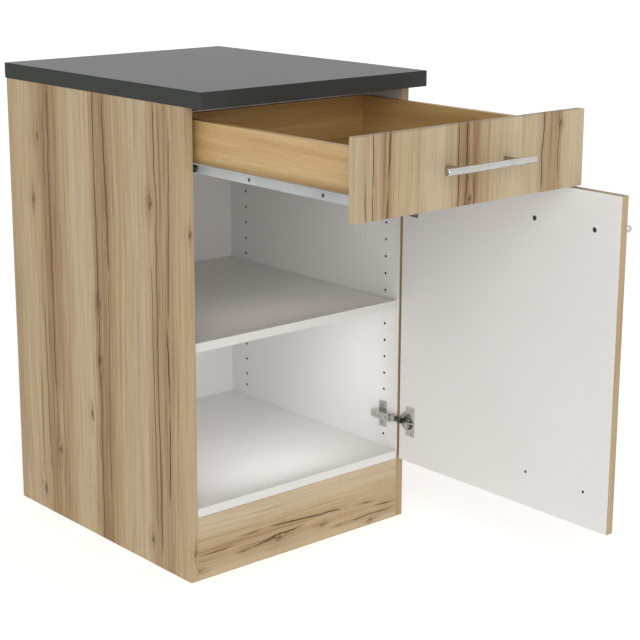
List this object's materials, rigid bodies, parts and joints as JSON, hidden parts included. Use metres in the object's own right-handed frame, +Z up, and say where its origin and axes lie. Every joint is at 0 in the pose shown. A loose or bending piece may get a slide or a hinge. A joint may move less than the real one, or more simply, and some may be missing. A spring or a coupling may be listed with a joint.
{
  "type": "kitchen base cabinet",
  "caption": "Kitchen base cabinet in oak decor with a dark worktop, a pull-out drawer on roller runners, and a hinged door over a shelf.",
  "frame": {"origin": "on the floor, midway between the side panels, in the plane of the carcass's front edges", "axes": "+Z up, +Y towards the wall, +X to the right of someone who faces the cabinet"},
  "size_m": [0.54, 1.055, 0.848],
  "materials": {
    "oak_decor_board": "oak decor melamine on chipboard, matt",
    "white_board": "white melamine on chipboard",
    "white_hardboard": "white lacquered hardboard",
    "laminate_worktop": "dark grey laminate on chipboard, fine texture",
    "beech_foil_board": "beech foil on particle board",
    "beech_foil_hardboard": "beech foil on hardboard",
    "beech_dowel": "bare beech",
    "zinc_steel": "bright zinc",
    "zinc_die_cast": "die cast, nickelled",
    "nickelled_hinge_steel": "nickelled",
    "grey_enamelled_steel": "light grey epoxy",
    "black_plastic": "black nylon",
    "white_plastic": "white polypropylene",
    "stainless_steel": "brushed round bar"
  },
  "bodies": {
    "cabinet": {"back_nails": "zinc_steel", "back_panel": "white_hardboard", "base_panel": "white_board", "cabinet_runner_left": "grey_enamelled_steel", "cabinet_runner_right": "grey_enamelled_steel", "cam_bolts": "zinc_steel", "cam_discs": "zinc_die_cast", "carcass_screws": "zinc_steel", "dowels": "beech_dowel", "front_rail": "white_board", "front_roller_axles": "zinc_steel", "hinge_adjusters": "zinc_steel", "hinge_arm_pins": "zinc_steel", "hinge_plate_screws": "zinc_steel", "lower_hinge_arm": "nickelled_hinge_steel", "lower_hinge_plate": "zinc_die_cast", "plinth_blocks": "white_plastic", "plinth_board": "oak_decor_board", "rear_rail": "white_board", "runner_screws": "zinc_steel", "runner_stops": "black_plastic", "shelf": "white_board", "shelf_pins": "zinc_steel", "side_panel_left": "oak_decor_board", "side_panel_right": "oak_decor_board", "upper_hinge_arm": "nickelled_hinge_steel", "upper_hinge_plate": "zinc_die_cast", "worktop": "laminate_worktop"},
    "drawer": {"drawer_back": "beech_foil_board", "drawer_bottom": "beech_foil_hardboard", "drawer_cam_bolts": "zinc_steel", "drawer_cam_discs": "zinc_die_cast", "drawer_dowels": "beech_dowel", "drawer_front": "oak_decor_board", "drawer_handle_bar": "stainless_steel", "drawer_handle_posts": "stainless_steel", "drawer_handle_screws": "zinc_steel", "drawer_runner_left": "grey_enamelled_steel", "drawer_runner_right": "grey_enamelled_steel", "drawer_runner_screws": "zinc_steel", "drawer_screws": "zinc_steel", "drawer_side_left": "beech_foil_board", "drawer_side_right": "beech_foil_board", "rear_roller_axles": "zinc_steel"},
    "door": {"door_panel": "oak_decor_board", "door_handle_bar": "stainless_steel", "door_handle_posts": "stainless_steel", "door_handle_screws": "zinc_steel", "upper_hinge_cup": "nickelled_hinge_steel", "lower_hinge_cup": "nickelled_hinge_steel", "hinge_cup_screws": "zinc_steel"},
    "hinge_links": {"upper_hinge_link": "nickelled_hinge_steel", "lower_hinge_link": "nickelled_hinge_steel", "hinge_cup_pins": "zinc_steel"},
    "front_roller_left": {"front_roller_left": "black_plastic"},
    "front_roller_right": {"front_roller_right": "black_plastic"},
    "rear_roller_left": {"rear_roller_left": "black_plastic"},
    "rear_roller_right": {"rear_roller_right": "black_plastic"}
  },
  "joints": [
    {"name": "drawer_slide", "type": "slide", "parent": "cabinet", "child": "drawer", "axis": [0, -1, 0], "range_m": [-0.388, 0]},
    {"name": "door_swing", "type": "hinge", "parent": "cabinet", "child": "door", "pos_m": [0.243, -0.009, 0.402], "axis": [0, 0, 1], "range_deg": [-90, 15]},
    {"name": "link_swing", "type": "hinge", "parent": "cabinet", "child": "hinge_links", "pos_m": [0.2304, 0.001, 0.404], "axis": [0, 0, 1], "range_deg": [-88.5, 15]},
    {"name": "front_roller_left_spin", "type": "hinge", "parent": "cabinet", "child": "front_roller_left", "pos_m": [-0.2, 0.0075, 0.7195], "axis": [1, 0, 0], "continuous": true},
    {"name": "front_roller_right_spin", "type": "hinge", "parent": "cabinet", "child": "front_roller_right", "pos_m": [0.2, 0.0075, 0.7195], "axis": [1, 0, 0], "continuous": true},
    {"name": "rear_roller_left_spin", "type": "hinge", "parent": "drawer", "child": "rear_roller_left", "pos_m": [-0.2, 0.051, 0.7183], "axis": [1, 0, 0], "continuous": true},
    {"name": "rear_roller_right_spin", "type": "hinge", "parent": "drawer", "child": "rear_roller_right", "pos_m": [0.2, 0.051, 0.7183], "axis": [1, 0, 0], "continuous": true}
  ],
  "couplings": [
    {"joint": "link_swing", "follows": "door_swing", "ratio": 0.98},
    {"joint": "front_roller_left_spin", "follows": "drawer_slide", "rad_per_m": 153.85},
    {"joint": "front_roller_right_spin", "follows": "drawer_slide", "rad_per_m": 153.85},
    {"joint": "rear_roller_left_spin", "follows": "drawer_slide", "rad_per_m": 166.67},
    {"joint": "rear_roller_right_spin", "follows": "drawer_slide", "rad_per_m": 166.67}
  ]
}
